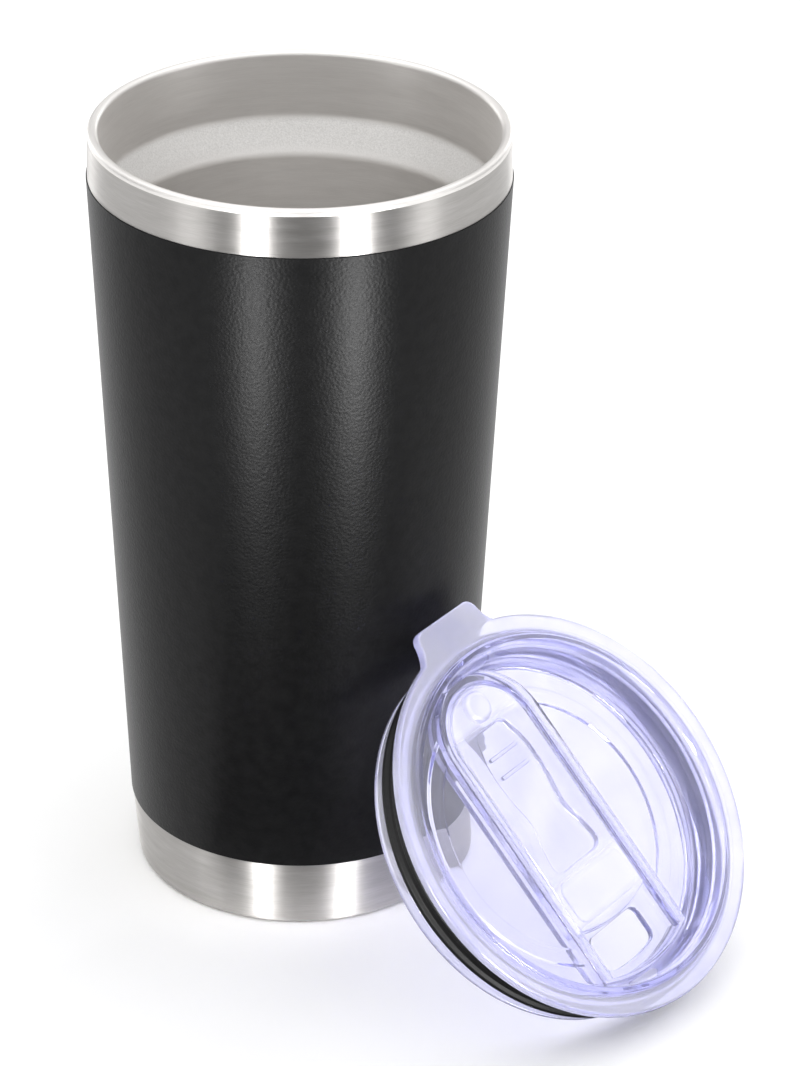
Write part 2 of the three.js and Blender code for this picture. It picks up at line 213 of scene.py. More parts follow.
def tidy_mesh(obj: bpy.types.Object, sharp: float = CREASE) -> None:
    """Merges doubled points, turns the faces outward and sets the creases.

    Args:
        obj: the object.
        sharp: crease angle in degrees.
    """
    work = bmesh.new()
    work.from_mesh(obj.data)
    bmesh.ops.remove_doubles(work, verts=work.verts, dist=1e-6)
    bmesh.ops.dissolve_degenerate(work, edges=work.edges, dist=1e-7)
    bmesh.ops.recalc_face_normals(work, faces=work.faces)
    work.to_mesh(obj.data)
    work.free()
    obj.data.polygons.foreach_set("use_smooth", [True] * len(obj.data.polygons))
    obj.data.set_sharp_from_angle(angle=math.radians(sharp))
    obj.data.update()


def revolve(name: str, profile: Sequence[Point], segments: int = ROUND_STEPS,
            sharp: float = CREASE) -> bpy.types.Object:
    """Turns a radius-height profile about Z.

    Args:
        name: the object's name.
        profile: points in millimetres; a profile that starts on the axis ends on it, and any other
            closes on itself.
        segments: steps round the axis.
        sharp: crease angle in degrees.

    Returns:
        The solid of revolution.
    """
    on_axis = profile[0][0] == 0
    verts: list[tuple[float, float, float]] = []
    rows: list[list[int]] = []
    for r, z in profile:
        if r == 0:
            rows.append([len(verts)] * segments)
            verts.append((0, 0, z))
            continue
        rows.append(list(range(len(verts), len(verts) + segments)))
        for k in range(segments):
            a = 2 * math.pi * k / segments
            verts.append((r * math.cos(a), r * math.sin(a), z))
    pairs = list(zip(rows, rows[1:]))
    if not on_axis:
        pairs.append((rows[-1], rows[0]))
    faces = []
    for low, high in pairs:
        for k in range(segments):
            n = (k + 1) % segments
            loop = dict.fromkeys((low[k], low[n], high[n], high[k]))
            faces.append(tuple(loop))
    return as_object(name, verts, faces, sharp)


def loft(name: str, rings: Sequence[tuple[Sequence[Point], float]],
         sharp: float = CREASE) -> bpy.types.Object:
    """Joins outlines of equal point count, stacked in Z, into a closed solid.

    Args:
        name: the object's name.
        rings: each outline with its height, in millimetres, from the bottom up.
        sharp: crease angle in degrees.

    Returns:
        The solid.
    """
    verts = [(x, y, z) for outline, z in rings for x, y in outline]
    count = len(rings[0][0])
    faces: list[tuple[int, ...]] = [tuple(reversed(range(count)))]
    for level in range(len(rings) - 1):
        base = level * count
        for k in range(count):
            n = (k + 1) % count
            faces.append((base + k, base + n, base + count + n, base + count + k))
    faces.append(tuple(range((len(rings) - 1) * count, len(rings) * count)))
    return as_object(name, verts, faces, sharp)


def slab_rings(outline: Callable[[float], list[Point]], low: float, high: float, low_round: float = 0.0,
               high_round: float = 0.0, steps: int = 4) -> list[tuple[list[Point], float]]:
    """Rings of a plate whose rims are rounded, or flared where the radius is negative.

    Args:
        outline: gives the outline grown by a distance in millimetres.
        low: bottom height.
        high: top height.
        low_round: rounding of the bottom rim; negative flares it outward.
        high_round: rounding of the top rim; negative flares it outward.
        steps: segments in each rounding.

    Returns:
        Each outline with its height, from the bottom up.
    """
    quarter = [math.pi / 2 * k / steps for k in range(steps + 1)]
    rings = [(outline(-low_round * (1 - math.sin(a))), low + abs(low_round) * (1 - math.cos(a)))
             for a in (quarter if low_round else quarter[-1:])]
    rings += [(outline(-high_round * (1 - math.cos(a))), high - abs(high_round) * (1 - math.sin(a)))
              for a in (quarter if high_round else quarter[:1])]
    return rings


def rounded_slab(name: str, outline: Callable[[float], list[Point]], low: float, high: float,
                 low_round: float, high_round: float, steps: int = 4) -> bpy.types.Object:
    """A plate between two heights with rounded or flared rims.

    Args:
        name: the object's name.
        outline: gives the outline grown by a distance in millimetres.
        low: bottom height.
        high: top height.
        low_round: rounding of the bottom rim.
        high_round: rounding of the top rim.
        steps: segments in each rounding.

    Returns:
        The plate.
    """
    return loft(name, slab_rings(outline, low, high, low_round, high_round, steps))


def combine(body: bpy.types.Object, tools: Sequence[tuple[bpy.types.Object, str]],
            sharp: float = CREASE) -> bpy.types.Object:
    """Applies booleans to a body and removes the tools.

    Args:
        body: the object that is changed.
        tools: each tool with UNION or DIFFERENCE.
        sharp: crease angle in degrees of the result.

    Returns:
        The body.
    """
    for tool, operation in tools:
        modifier = body.modifiers.new(operation.lower(), "BOOLEAN")
        modifier.object = tool
        modifier.operation = operation
        modifier.solver = "EXACT"
    result = bpy.data.meshes.new_from_object(body.evaluated_get(bpy.context.evaluated_depsgraph_get()))
    body.modifiers.clear()
    body.data = result
    for tool, _ in tools:
        bpy.data.objects.remove(tool)
    tidy_mesh(body, sharp)
    return body


def dress(piece: bpy.types.Object, material: bpy.types.Material) -> None:
    """Gives a piece its only material."""
    piece.data.materials.clear()
    piece.data.materials.append(material)


def settle(piece: bpy.types.Object, body: Body, material: bpy.types.Material, node: str,
           home: Matrix = Matrix()) -> None:
    """Puts a piece in its place, dresses it and ties it to the model.

    Args:
        piece: the piece, built in its own frame.
        body: the body that it moves with.
        material: its material.
        node: the model's node that it stands for.
        home: where its own frame lies in the model.
    """
    piece.data.transform(home)
    dress(piece, material)
    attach(piece, body.value)
    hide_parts(node)
    log.info("%s: %d faces on %s", piece.name, len(piece.data.polygons), body.value)


# Materials


class Graph:
    """A material's node tree with a Principled shader, built step by step."""

    def __init__(self, name: str, home: Matrix | None = None) -> None:
        """Starts an empty material.

        Args:
            name: the material's name.
            home: the piece's own frame, where its pattern starts.
        """
        self.home = home or Matrix()
        self.material = bpy.data.materials.new(name)
        self.material.use_nodes = True
        self.tree = self.material.node_tree
        self.tree.nodes.clear()
        self.output = self.tree.nodes.new("ShaderNodeOutputMaterial")
        self.shader = self.tree.nodes.new("ShaderNodeBsdfPrincipled")
        self.join(self.shader, "BSDF", self.output, "Surface")

    def add(self, kind: str, settings: dict | None = None, inputs: dict | None = None) -> bpy.types.Node:
        """Adds a node.

        Args:
            kind: the node type after "ShaderNode".
            settings: attributes to set.
            inputs: values of its sockets by name or number.

        Returns:
            The node.
        """
        node = self.tree.nodes.new("ShaderNode" + kind)
        for key, value in (settings or {}).items():
            setattr(node, key, value)
        for key, value in (inputs or {}).items():
            node.inputs[key].default_value = value
        return node

    def join(self, source: bpy.types.Node, out: str | int, target: bpy.types.Node, into: str | int) -> None:
        """Links an output of one node to an input of another."""
        self.tree.links.new(source.outputs[out], target.inputs[into])

    def math(self, operation: str, *terms: tuple[bpy.types.Node, str | int] | float) -> bpy.types.Node:
        """Adds arithmetic.

        Args:
            operation: the operation's name.
            terms: each input, a node with its output or a number.

        Returns:
            The node, whose first output is the result.
        """
        node = self.add("Math", {"operation": operation})
        for place, term in enumerate(terms):
            if isinstance(term, float):
                node.inputs[place].default_value = term
            else:
                self.join(*term, node, place)
        return node

    def place_coordinates(self) -> bpy.types.Node:
        """Adds the piece's own coordinates, which stay with it as it moves."""
        source = self.add("TexCoord")
        own = self.add("Mapping", {"vector_type": "TEXTURE"},
                       {"Location": self.home.to_translation(), "Rotation": self.home.to_euler()})
        self.join(source, "Object", own, 0)
        return own

    def round_coordinates(self, around: float, along: float) -> bpy.types.Node:
        """Coordinates for marks that run round the Z axis.

        Args:
            around: pattern steps in one radian round the axis.
            along: pattern steps in one metre along the axis or out from it.

        Returns:
            A node whose first output is the coordinate.
        """
        source = self.place_coordinates()
        split = self.add("SeparateXYZ")
        self.join(source, 0, split, 0)
        flat = self.add("CombineXYZ")
        self.join(split, "X", flat, "X")
        self.join(split, "Y", flat, "Y")
        unit = self.add("VectorMath", {"operation": "NORMALIZE"})
        self.join(flat, 0, unit, 0)
        wide = self.add("VectorMath", {"operation": "SCALE"}, {"Scale": around})
        self.join(unit, 0, wide, 0)
        reach = self.add("VectorMath", {"operation": "LENGTH"})
        self.join(flat, 0, reach, 0)
        far = self.math("ADD", (split, "Z"), (reach, "Value"))
        height = self.math("MULTIPLY", (far, 0), along)
        raised = self.add("CombineXYZ")
        self.join(height, 0, raised, "Z")
        total = self.add("VectorMath", {"operation": "ADD"})
        self.join(wide, 0, total, 0)
        self.join(raised, 0, total, 1)
        return total

    def noise(self, coordinates: bpy.types.Node, out: str | int, scale: float, detail: float = 3.0,
              rough: float = 0.6) -> bpy.types.Node:
        """Adds a noise texture.

        Args:
            coordinates: the node that gives the coordinate.
            out: its output.
            scale: the noise scale.
            detail: octaves.
            rough: how strong the finer octaves are.

        Returns:
            The texture node.
        """
        node = self.add("TexNoise", None, {"Scale": scale, "Detail": detail, "Roughness": rough})
        self.join(coordinates, out, node, "Vector")
        return node

    def spread(self, source: bpy.types.Node, out: str | int, low: float, high: float,
               start: float = 0.3, end: float = 0.7) -> bpy.types.Node:
        """Maps a pattern to a range.

        Args:
            source: the node that gives the pattern.
            out: its output.
            low: value at start.
            high: value at end.
            start: pattern value that gives low.
            end: pattern value that gives high.

        Returns:
            The range node.
        """
        keys = {"From Min": start, "From Max": end, "To Min": low, "To Max": high}
        node = self.add("MapRange", None, keys)
        self.join(source, out, node, "Value")
        return node

    def tone(self, source: bpy.types.Node, out: str | int, dark: Sequence[float],
             light: Sequence[float], start: float = 0.3, end: float = 0.7) -> bpy.types.Node:
        """Maps a pattern to a blend of two colours.

        Args:
            source: the node that gives the pattern.
            out: its output.
            dark: colour at start.
            light: colour at end.
            start: pattern value that gives dark.
            end: pattern value that gives light.

        Returns:
            The ramp node.
        """
        node = self.add("ValToRGB")
        node.color_ramp.elements[0].position = start
        node.color_ramp.elements[0].color = (*dark, 1)
        node.color_ramp.elements[1].position = end
        node.color_ramp.elements[1].color = (*light, 1)
        self.join(source, out, node, 0)
        return node

    def bump(self, source: bpy.types.Node, out: str | int, strength: float, depth: float,
             under: bpy.types.Node | None = None) -> bpy.types.Node:
        """Adds relief from a pattern.

        Args:
            source: the node that gives the height.
            out: its output.
            strength: share of the relief that shows.
            depth: relief height in metres.
            under: an earlier bump that this one lies on.

        Returns:
            The bump node.
        """
        node = self.add("Bump", None, {"Strength": strength, "Distance": depth})
        self.join(source, out, node, "Height")
        if under is not None:
            self.join(under, 0, node, "Normal")
        return node

    def set(self, **values: object) -> None:
        """Sets the shader's own sockets, with underscores in place of spaces."""
        for key, value in values.items():
            self.shader.inputs[key.replace("_", " ")].default_value = value

    def drive(self, source: bpy.types.Node, out: str | int, into: str) -> None:
        """Links a pattern to one of the shader's sockets."""
        self.join(source, out, self.shader, into)


@dataclass(frozen=True)
class BrushedSteel:
    """Stainless steel brushed round its axis.

    Attributes:
        name: the material's name.
        dark: colour in the brush marks.
        light: colour between them.
        smooth: lowest roughness.
        rough: highest roughness.
        stretch: how far highlights spread across the brushing.
        relief: depth of the brush marks in metres.
        fine_share: share of the fine brush marks in the whole pattern.
        blast_lit_belt: lowest and highest height in metres of a belt with sand-blast grain, if it has one;
            the belt's lighter colour is a painted highlight on the step.
    """

    name: str
    dark: tuple[float, float, float] = (0.42, 0.405, 0.39)
    light: tuple[float, float, float] = (0.57, 0.555, 0.54)
    smooth: float = 0.36
    rough: float = 0.44
    stretch: float = 0.97
    relief: float = 0.000012
    fine_share: float = 0.55
    blast_lit_belt: tuple[float, float] | None = None

    def material(self) -> bpy.types.Material:
        """Builds the material and returns it."""
        g = Graph(self.name)
        fine = g.noise(g.round_coordinates(9.0, 5200.0), 0, 1.0, 4.0, 0.65)
        broad = g.noise(g.round_coordinates(3.0, 700.0), 0, 1.0, 2.0, 0.5)
        share = g.math("MULTIPLY", (fine, 0), self.fine_share)
        mixed = g.math("MULTIPLY_ADD", (broad, 0), 1.0 - self.fine_share, (share, 0))
        wear = g.noise(g.place_coordinates(), 0, 38.0, 5.0, 0.6)
        worn = g.spread(wear, 0, 0.0, 0.05, 0.45, 0.75)
        base_rough = g.spread(mixed, 0, self.smooth, self.rough)
        total = g.math("ADD", (base_rough, 0), (worn, 0))
        colour = g.tone(mixed, 0, self.dark, self.light)
        relief = g.bump(fine, 0, 0.5, self.relief)
        g.set(Metallic=1.0, Anisotropic=self.stretch, Anisotropic_Rotation=0.25)
        tangent = g.add("Tangent", {"direction_type": "RADIAL", "axis": "Z"})
        g.drive(tangent, 0, "Tangent")
        if self.blast_lit_belt:
            total, relief, colour = self._blast_and_highlight(g, total, relief, colour)
        g.drive(total, 0, "Roughness")
        g.drive(colour, 0, "Base Color")
        g.drive(relief, 0, "Normal")
        return g.material

    def _blast_and_highlight(self, g: Graph, rough: bpy.types.Node, relief: bpy.types.Node,
               colour: bpy.types.Node) -> tuple[bpy.types.Node, bpy.types.Node, bpy.types.Node]:
        """Lays a belt of sand-blast grain over the brushing, coloured lighter as a painted highlight on the
        step.

        Args:
            g: the material's graph.
            rough: the roughness so far.
            relief: the bump so far.
            colour: the colour so far.

        Returns:
            The new roughness, bump and colour nodes.
        """
        low, high = self.blast_lit_belt
        split = g.add("SeparateXYZ")
        g.join(g.place_coordinates(), 0, split, 0)
        rise = g.spread(split, "Z", 0.0, 1.0, low, low + 0.003)
        fall = g.spread(split, "Z", 1.0, 0.0, high - 0.001, high)
        belt = g.math("MULTIPLY", (rise, 0), (fall, 0))
        grain = g.noise(g.place_coordinates(), 0, 2600.0, 3.0, 0.7)
        rougher = g.math("MULTIPLY_ADD", (belt, 0), 0.22, (rough, 0))
        depth = g.math("MULTIPLY", (grain, 0), (belt, 0))
        sanded = g.bump(depth, 0, 0.5, 0.0001, relief)
        # Painted highlight: the belt's colour is lighter than the brushed steel around it; only its grain,
        # roughness and bump are the sand-blast finish.
        blast_highlight_mix = g.add("MixRGB")
        grain_highlight_tone = g.tone(grain, 0, (0.78, 0.77, 0.755), (0.92, 0.91, 0.90))
        g.join(belt, 0, blast_highlight_mix, "Fac")
        g.join(colour, 0, blast_highlight_mix, "Color1")
        g.join(grain_highlight_tone, 0, blast_highlight_mix, "Color2")
        return rougher, sanded, blast_highlight_mix


@dataclass(frozen=True)
class PowderCoat:
    """Satin powder coat with a fine pebbled grain.

    Attributes:
        name: the material's name.
        dark: darker colour.
        light: lighter colour.
        smooth: lowest roughness.
        rough: highest roughness.
        shine: how strongly the surface mirrors.
        pebble: grains to a metre.
        depth: relief of the grains in metres.
    """

    name: str = "black_powder_coat"
    dark: tuple[float, float, float] = (0.0045, 0.0045, 0.005)
    light: tuple[float, float, float] = (0.0085, 0.0085, 0.009)
    smooth: float = 0.32
    rough: float = 0.40
    shine: float = 0.13
    pebble: float = 1500.0
    depth: float = 0.00008

    def material(self) -> bpy.types.Material:
        """Builds the material and returns it."""
        g = Graph(self.name)
        here = g.place_coordinates()
        cells = g.add("TexVoronoi", {"feature": "SMOOTH_F1"}, {"Scale": self.pebble, "Smoothness": 0.7})
        g.join(here, 0, cells, "Vector")
        fine = g.noise(here, 0, self.pebble * 2.2, 4.0, 0.6)
        broad = g.noise(here, 0, 420.0, 3.0, 0.55)
        low = g.bump(cells, "Distance", 0.35, self.depth)
        mid = g.bump(fine, 0, 0.3, self.depth * 0.5, low)
        top = g.bump(broad, 0, 0.08, self.depth * 2.0, mid)
        g.drive(top, 0, "Normal")
        g.drive(g.tone(broad, 0, self.dark, self.light), 0, "Base Color")
        g.drive(g.spread(fine, 0, self.smooth, self.rough), 0, "Roughness")
        g.set(Specular_IOR_Level=self.shine)
        return g.material


@dataclass(frozen=True)
class ClearPlastic:
    """Clear plastic that turns violet where it is thick, and milky towards the flange.

    Attributes:
        name: the material's name.
        milk: darker colour of its haze.
        pale: lighter colour of its haze.
        clear: share of the light that passes in the middle.
        clear_rim: share that passes in the flange.
        rim_start: radius in metres where the milky rim starts.
        pads: start and end in metres along Y of each frosted pad.
        clear_pad: share that passes in the pad.
        blend: half the width in metres over which a pad's frost fades.
        depth_tint: colour that a long way through it takes.
        density: strength of that colour for each metre.
        smooth: lowest roughness.
        rough: highest roughness, in the scuffs.
        home: the piece's own frame.
    """

    name: str
    milk: tuple[float, float, float] = (0.83, 0.83, 0.97)
    pale: tuple[float, float, float] = (0.91, 0.91, 1.0)
    clear: float = 0.93
    clear_rim: float = 0.68
    rim_start: float = 0.0392
    pads: tuple[Point, ...] = ()
    clear_pad: float = 0.5
    blend: float = 0.0016
    depth_tint: tuple[float, float, float] = (0.42, 0.42, 0.97)
    density: float = 54.0
    smooth: float = 0.012
    rough: float = 0.06
    home: Matrix = field(default_factory=Matrix)

    def material(self) -> bpy.types.Material:
        """Builds the material and returns it."""
        g = Graph(self.name, self.home)
        here = g.place_coordinates()
        flow = g.noise(here, 0, 120.0, 2.0, 0.5)
        scuffs = g.noise(here, 0, 900.0, 5.0, 0.7)
        g.drive(g.spread(scuffs, 0, self.smooth, self.rough, 0.45, 0.8), 0, "Roughness")
        g.drive(g.tone(flow, 0, self.milk, self.pale), 0, "Base Color")
        g.drive(g.bump(flow, 0, 0.2, 0.00005), 0, "Normal")
        g.drive(self._clearness(g, here), 0, "Transmission Weight")
        g.set(IOR=1.56)
        depth = g.add("VolumeAbsorption", None, {"Color": (*self.depth_tint, 1), "Density": self.density})
        g.join(depth, 0, g.output, "Volume")
        return g.material

    def _clearness(self, g: Graph, here: bpy.types.Node) -> bpy.types.Node:
        """Clear in the middle and milky from the rim's radius outward.

        Args:
            g: the material's graph.
            here: the piece's own coordinates.

        Returns:
            The node that gives the share of light that passes.
        """
        flat = g.add("VectorMath", {"operation": "MULTIPLY"}, {1: (1.0, 1.0, 0.0)})
        g.join(here, 0, flat, 0)
        radius = g.add("VectorMath", {"operation": "LENGTH"})
        g.join(flat, 0, radius, 0)
        end = self.rim_start + 0.0025
        clear = g.spread(radius, "Value", self.clear, self.clear_rim, self.rim_start, end)
        split = g.add("SeparateXYZ")
        g.join(here, 0, split, 0)
        less = self.clear_pad - self.clear
        for start, stop in self.pads:
            rise = g.spread(split, "Y", 0.0, less, start - self.blend, start + self.blend)
            fall = g.spread(split, "Y", 1.0, 0.0, stop - self.blend, stop + self.blend)
            clear = g.math("MULTIPLY_ADD", (rise, 0), (fall, 0), (clear, 0))
        return clear


@dataclass(frozen=True)
class Silicone:
    """Matte black silicone rubber."""

    name: str = "black_silicone"

    def material(self) -> bpy.types.Material:
        """Builds the material and returns it."""
        g = Graph(self.name)
        here = g.place_coordinates()
        dust = g.noise(here, 0, 1400.0, 5.0, 0.65)
        broad = g.noise(here, 0, 160.0, 2.0, 0.5)
        g.drive(g.tone(broad, 0, (0.004, 0.004, 0.0045), (0.010, 0.010, 0.011)), 0, "Base Color")
        g.drive(g.spread(dust, 0, 0.42, 0.62), 0, "Roughness")
        g.drive(g.bump(dust, 0, 0.2, 0.00003), 0, "Normal")
        g.set(Specular_IOR_Level=0.3)
        return g.material


@dataclass(frozen=True)
class Mineral:
    """Speckled dull solid, for the getter's sintered powder and the solder glass bead.

    Attributes:
        name: the material's name.
        dark: colour of the dark specks.
        light: colour of the light specks.
        rough: middle roughness.
        metal: share of metal.
    """

    name: str
    dark: tuple[float, float, float]
    light: tuple[float, float, float]
    rough: float
    metal: float

    def material(self) -> bpy.types.Material:
        """Builds the material and returns it."""
        g = Graph(self.name)
        grain = g.noise(g.place_coordinates(), 0, 1800.0, 4.0, 0.6)
        g.drive(g.tone(grain, 0, self.dark, self.light), 0, "Base Color")
        g.drive(g.spread(grain, 0, self.rough * 0.8, self.rough * 1.15), 0, "Roughness")
        g.drive(g.bump(grain, 0, 0.4, 0.00005), 0, "Normal")
        g.set(Metallic=self.metal)
        return g.material


@dataclass(frozen=True)
class StudioFloor:
    """Plain white studio floor."""

    name: str = "studio_floor"

    def material(self) -> bpy.types.Material:
        """Builds the material and returns it."""
        g = Graph(self.name)
        grain = g.noise(g.place_coordinates(), 0, 14.0, 3.0, 0.5)
        g.drive(g.tone(grain, 0, (0.91, 0.91, 0.91), (0.925, 0.925, 0.925)), 0, "Base Color")
        g.set(Roughness=0.6, Specular_IOR_Level=0.2)
        return g.material


# Tumbler


def extent(node: str) -> tuple[float, float, float]:
    """Measures a round node that stands on the Z axis.

    Args:
        node: the model's node.

    Returns:
        Its lowest height, highest height and largest radius, in millimetres.
    """
    low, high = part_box(node)
    return low.z / MM, high.z / MM, high.x / MM


@dataclass
class Tumbler:
    """The double-walled steel body.

    Attributes:
        wall: thickness of the steel walls.
        lower_band_radius: shell radius at the coat's lower edge.
        foot_radius: radius where the foot's corner starts.
        foot_corner: rounding of the foot.
        foot_ring: width of the in-turned ring that the tumbler stands on.
        coat_thickness: thickness of the black coat.
        coat_gap: gap between the coat and the shell.
        lip_height: height of the rolled rim.
        mouth_radius: inner radius of the straight mouth.
        mouth_depth: depth of the straight mouth.
        shoulder_drop: height of the step below it.
        well_top: inner radius under the step.
        well_bottom: inner radius at the floor's corner.
        well_corner: rounding between wall and floor.
        floor_height: height of the inner floor.
        cap_rim: width of the base cap's upright rim.
        cap_disc: thickness of the base cap's disc.
    """

    wall: float = 0.6
    lower_band_radius: float = 37.5
    foot_radius: float = 36.25
    foot_corner: float = 1.6
    foot_ring: float = 1.2
    coat_thickness: float = 0.2
    coat_gap: float = 0.05
    lip_height: float = 1.3
    mouth_radius: float = 41.8
    mouth_depth: float = 15.0
    shoulder_drop: float = 7.3
    well_top: float = 38.0
    well_bottom: float = 32.6
    well_corner: float = 7.0
    floor_height: float = 9.0
    cap_rim: float = 2.0
    cap_disc: float = 0.8

    def build(self) -> None:
        """Builds and dresses every piece of the tumbler."""
        self.shell()
        self.coat()
        self.liner()
        self.base_cap()
        self.hidden_pieces()

    def shell(self) -> None:
        """Outer wall with its two bare bands and the in-turned foot."""
        coat_low, coat_high, _ = extent("powder_coat")
        _, _, upper = extent("outer_shell")
        _, liner_top, rim = extent("inner_liner")
        top = liner_top - self.lip_height
        ring_inner = self.foot_radius - self.foot_corner - self.foot_ring
        profile = filleted([
            (ring_inner, 0.0, 0.15),
            (self.foot_radius, 0.0, self.foot_corner),
            (self.lower_band_radius, coat_low, 6.0),
            (upper, coat_high, 4.0),
            (rim, top, 0.0),
            (rim - self.wall, top, 0.0),
            (upper - self.wall, coat_high, 0.0),
            (self.lower_band_radius - self.wall, coat_low, 0.0),
            (self.foot_radius - self.wall, self.foot_corner, 1.0),
            (ring_inner, self.wall, 0.15),
        ], closed=True, steps=6)
        piece = revolve("outer_shell_fine", profile)
        settle(piece, Body.TUMBLER, BrushedSteel("shell_brushed_steel").material(),
               "outer_shell")

    def coat(self) -> None:
        """Black coat between the bands, with soft edges."""
        low, high, outer_high = extent("powder_coat")
        inner_low = self.lower_band_radius + self.coat_gap
        outer_low = inner_low + self.coat_thickness
        profile = filleted([
            (inner_low, low, 0.0),
            (outer_low, low, 0.15),
            (outer_high, high, 0.15),
            (outer_high - self.coat_thickness, high, 0.0),
        ], closed=True, steps=4)
        piece = revolve("powder_coat_fine", profile)
        settle(piece, Body.TUMBLER, PowderCoat().material(), "powder_coat")

    def liner(self) -> None:
        """Inner wall from the rolled rim down over the step to the closed floor."""
        _, top, rim = extent("inner_liner")
        step_top = top - self.mouth_depth
        step_low = step_top - self.shoulder_drop
        wall = self.wall
        profile = filleted([
            (0.0, self.floor_height - wall, 0.0),
            (self.well_bottom + wall, self.floor_height - wall, self.well_corner + wall),
            (self.well_top + wall, step_low, 4.0),
            (self.mouth_radius + wall, step_top, 4.0),
            (self.mouth_radius + wall, top - self.lip_height, 0.0),
            (rim, top - self.lip_height, 0.0),
            (rim, top, 0.8),
            (self.mouth_radius, top, 1.1),
            (self.mouth_radius, step_top, 4.5),
            (self.well_top, step_low, 4.0),
            (self.well_bottom, self.floor_height, self.well_corner),
            (0.0, self.floor_height, 0.0),
        ], closed=False, steps=8)
        piece = revolve("inner_liner_fine", profile)
        belt = ((step_low - 0.5) * MM, (step_top + 0.5) * MM)
        # The liner is the shell's steel with lighter colours, which paints extra light inside the cup.
        steel = BrushedSteel("liner_brushed_steel", dark=(0.74, 0.72, 0.70), light=(0.84, 0.82, 0.80),
                             smooth=0.42, rough=0.52, stretch=0.5, blast_lit_belt=belt)
        settle(piece, Body.TUMBLER, steel.material(), "inner_liner")

    def base_cap(self) -> None:
        """Disc flush with the foot, with a shallow turned ring on its face."""
        _, rim_top, outer = extent("base_cap")
        groove = [(0.42, 0.0), (0.44, 0.25), (0.52, 0.25), (0.54, 0.0)]
        profile = filleted([
            (0.0, 0.0, 0.0),
            *[(outer * share, depth, 0.3) for share, depth in groove],
            (outer, 0.0, 0.35),
            (outer, rim_top, 0.0),
            (outer - self.cap_rim, rim_top, 0.0),
            (outer - self.cap_rim, self.cap_disc, 0.5),
            (0.0, self.cap_disc, 0.0),
        ], closed=False)
        piece = revolve("base_cap_fine", profile, 128)
        steel = BrushedSteel("cap_brushed_steel", smooth=0.25, rough=0.4, stretch=0.4)
        settle(piece, Body.TUMBLER, steel.material(), "base_cap")

    def hidden_pieces(self) -> None:
        """Gives the welded plate, the bead and the getter their finishes."""
        finishes = {
            "outer_base": BrushedSteel("base_plate_steel", smooth=0.3, rough=0.45, stretch=0.3),
            "vacuum_seal": Mineral("solder_glass", (0.02, 0.022, 0.028), (0.07, 0.075, 0.085), 0.22, 0.0),
            "getter": Mineral("getter_powder", (0.16, 0.16, 0.165), (0.34, 0.34, 0.35), 0.65, 0.7),
        }
        for node, finish in finishes.items():
            dress(frame["nodes"][node], finish.material())
            log.info("%s: dressed", node)


# Lid


def joint_axis(name: str) -> Vector:
    """Unit axis of a joint of the record."""
    for joint in frame["record"]["behaviour"]["joints"]:
        if joint["name"] == name:
            return Vector(joint["axis"]).normalized()
    raise KeyError(name)


@dataclass
class Track:
    """The slider's track, in the lid's own frame.

    Attributes:
        half_width: half the width of the groove under the lips.
        lip: how far each lip reaches in over the groove.
        rail: wall thickness outside the groove.
        end: where the groove's round end reaches.
        front_radius: radius of its curved front, about the lid's axis.
        rail_top: depth of the rails' top.
        lip_bottom: depth of the lips' underside.
        floor: depth of the groove's floor.
        floor_wall: thickness under it.
        travel: how far the slider slides.
    """

    half_width: float = 12.7
    lip: float = 1.0
    rail: float = 2.0
    end: float = 35.0
    front_radius: float = 35.2
    rail_top: float = 6.7
    lip_bottom: float = 8.2
    floor: float = 11.0
    floor_wall: float = 1.6
    travel: float = 11.0

    def outline(self, half: float, front: float,
                front_centre: float = 0.0) -> Callable[[float], list[Point]]:
        """Outline across the deck, round at the tab end and curved at the drinking end.

        Args:
            half: half width.
            front: radius of the curved front.
            front_centre: where the front's arc is centred along the track.

        Returns:
            A function that gives the outline grown by a distance.
        """
        centre = self.end - self.half_width

        def grown(by: float) -> list[Point]:
            """The outline grown by a distance."""
            width = half + by
            radius = front + by
            lean = math.asin(width / radius)
            rear = arc((0.0, centre), width, 0.0, math.pi, 36)
            down = -math.pi / 2
            nose = arc((0.0, front_centre), radius, down - lean, down + lean, 24)
            return rear + nose

        return grown


